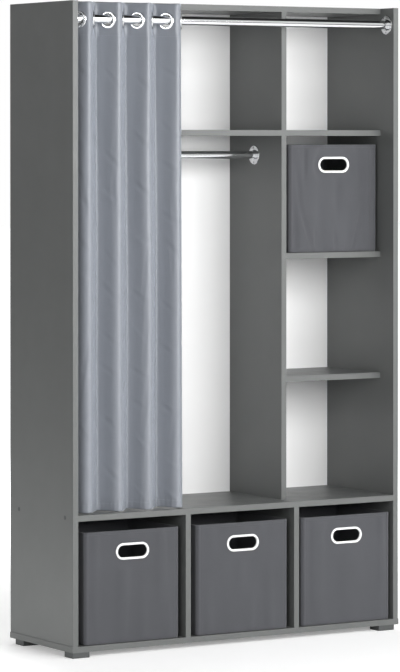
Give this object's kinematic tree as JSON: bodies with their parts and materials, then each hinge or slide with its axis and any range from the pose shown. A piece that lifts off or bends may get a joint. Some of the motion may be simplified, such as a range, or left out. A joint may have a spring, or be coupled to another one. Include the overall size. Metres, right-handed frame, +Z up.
{
  "type": "open wardrobe with curtain and fabric bins",
  "caption": "Open wardrobe with a hanging bay behind a sliding curtain, a narrow shelf bay, a row of cubbies below and pull-out fabric bins.",
  "frame": {"origin": "middle of the plan, on the floor under the feet", "axes": "+X to the right seen from the front, +Y to the back, +Z up"},
  "size_m": [1.064, 0.35, 1.764],
  "materials": {
    "anthracite_board": "satin melamine facing, plain anthracite grey, on chipboard",
    "white_hardboard": "white lacquered hardboard, slightly glossy",
    "grey_plastic": "moulded, matt",
    "chrome": "polished chrome plate on steel",
    "ring_chrome": "bright polished",
    "beech": "fluted beech",
    "zinc": "zinc plated",
    "curtain_satin": "satin weave, blue-grey",
    "bin_fabric": "pressed felt-like cloth over card, dark grey",
    "bin_card": "cloth-covered board",
    "handle_white": "smooth white"
  },
  "bodies": {
    "root": {"base_board": "anthracite_board", "left_side_panel": "anthracite_board", "right_side_panel": "anthracite_board", "top_panel": "anthracite_board", "middle_shelf": "anthracite_board", "lower_divider_left": "anthracite_board", "lower_divider_right": "anthracite_board", "upper_divider": "anthracite_board", "hat_shelf": "anthracite_board", "right_shelf_bottom": "anthracite_board", "right_shelf_middle": "anthracite_board", "right_shelf_top": "anthracite_board", "back_panel_left": "white_hardboard", "back_panel_right": "white_hardboard", "back_joining_strip": "white_hardboard", "foot_front_left": "grey_plastic", "foot_front_right": "grey_plastic", "foot_rear_left": "grey_plastic", "foot_rear_right": "grey_plastic", "curtain_rod": "chrome", "curtain_rod_flange_left": "chrome", "curtain_rod_flange_right": "chrome", "clothes_rail": "chrome", "clothes_rail_flange_left": "chrome", "clothes_rail_flange_right": "chrome", "wood_dowels": "beech", "cam_locks": "zinc", "cam_bolts": "zinc", "board_screws": "zinc", "screw_caps": "grey_plastic", "flange_screws": "zinc", "foot_screws": "zinc"},
    "curtain_tail": {"curtain_cloth": "curtain_satin", "curtain_ring_1": "ring_chrome"},
    "curtain_lead": {"curtain_ring_8": "ring_chrome"},
    "curtain_ring_body_2": {"curtain_ring_2": "ring_chrome"},
    "curtain_ring_body_3": {"curtain_ring_3": "ring_chrome"},
    "curtain_ring_body_4": {"curtain_ring_4": "ring_chrome"},
    "curtain_ring_body_5": {"curtain_ring_5": "ring_chrome"},
    "curtain_ring_body_6": {"curtain_ring_6": "ring_chrome"},
    "curtain_ring_body_7": {"curtain_ring_7": "ring_chrome"},
    "bin_left": {"bin_left_shell": "bin_fabric", "bin_left_insert": "bin_card", "bin_left_handle": "handle_white", "bin_left_handle_clip": "handle_white"},
    "bin_middle": {"bin_middle_shell": "bin_fabric", "bin_middle_insert": "bin_card", "bin_middle_handle": "handle_white", "bin_middle_handle_clip": "handle_white"},
    "bin_right": {"bin_right_shell": "bin_fabric", "bin_right_insert": "bin_card", "bin_right_handle": "handle_white", "bin_right_handle_clip": "handle_white"},
    "bin_upper": {"bin_upper_shell": "bin_fabric", "bin_upper_insert": "bin_card", "bin_upper_handle": "handle_white", "bin_upper_handle_clip": "handle_white"}
  },
  "joints": [
    {"name": "bin_left_slide", "type": "slide", "parent": "root", "child": "bin_left", "axis": [0, 1, 0], "range_m": [-0.25, 0]},
    {"name": "bin_middle_slide", "type": "slide", "parent": "root", "child": "bin_middle", "axis": [0, 1, 0], "range_m": [-0.25, 0]},
    {"name": "bin_right_slide", "type": "slide", "parent": "root", "child": "bin_right", "axis": [0, 1, 0], "range_m": [-0.25, 0]},
    {"name": "bin_upper_slide", "type": "slide", "parent": "root", "child": "bin_upper", "axis": [0, 1, 0], "range_m": [-0.25, 0]},
    {"name": "curtain_slide", "type": "slide", "parent": "root", "child": "curtain_tail", "axis": [1, 0, 0], "range_m": [0, 0.55]},
    {"name": "curtain_spread", "type": "slide", "parent": "curtain_tail", "child": "curtain_lead", "axis": [1, 0, 0], "range_m": [-0.08, 0.08], "deforming": ["curtain_cloth"]},
    {"name": "ring_2_slide", "type": "slide", "parent": "curtain_tail", "child": "curtain_ring_body_2", "axis": [1, 0, 0], "range_m": [-0.00543, 0.00543]},
    {"name": "ring_3_slide", "type": "slide", "parent": "curtain_tail", "child": "curtain_ring_body_3", "axis": [1, 0, 0], "range_m": [-0.01686, 0.01686]},
    {"name": "ring_4_slide", "type": "slide", "parent": "curtain_tail", "child": "curtain_ring_body_4", "axis": [1, 0, 0], "range_m": [-0.03249, 0.03249]},
    {"name": "ring_5_slide", "type": "slide", "parent": "curtain_tail", "child": "curtain_ring_body_5", "axis": [1, 0, 0], "range_m": [-0.04951, 0.04951]},
    {"name": "ring_6_slide", "type": "slide", "parent": "curtain_tail", "child": "curtain_ring_body_6", "axis": [1, 0, 0], "range_m": [-0.06514, 0.06514]},
    {"name": "ring_7_slide", "type": "slide", "parent": "curtain_tail", "child": "curtain_ring_body_7", "axis": [1, 0, 0], "range_m": [-0.07657, 0.07657]}
  ],
  "couplings": [
    {"joint": "ring_2_slide", "follows": "curtain_spread", "ratio": 0.055394},
    {"joint": "ring_3_slide", "follows": "curtain_spread", "ratio": 0.19825},
    {"joint": "ring_4_slide", "follows": "curtain_spread", "ratio": 0.39359},
    {"joint": "ring_5_slide", "follows": "curtain_spread", "ratio": 0.60641},
    {"joint": "ring_6_slide", "follows": "curtain_spread", "ratio": 0.80175},
    {"joint": "ring_7_slide", "follows": "curtain_spread", "ratio": 0.94461}
  ]
}
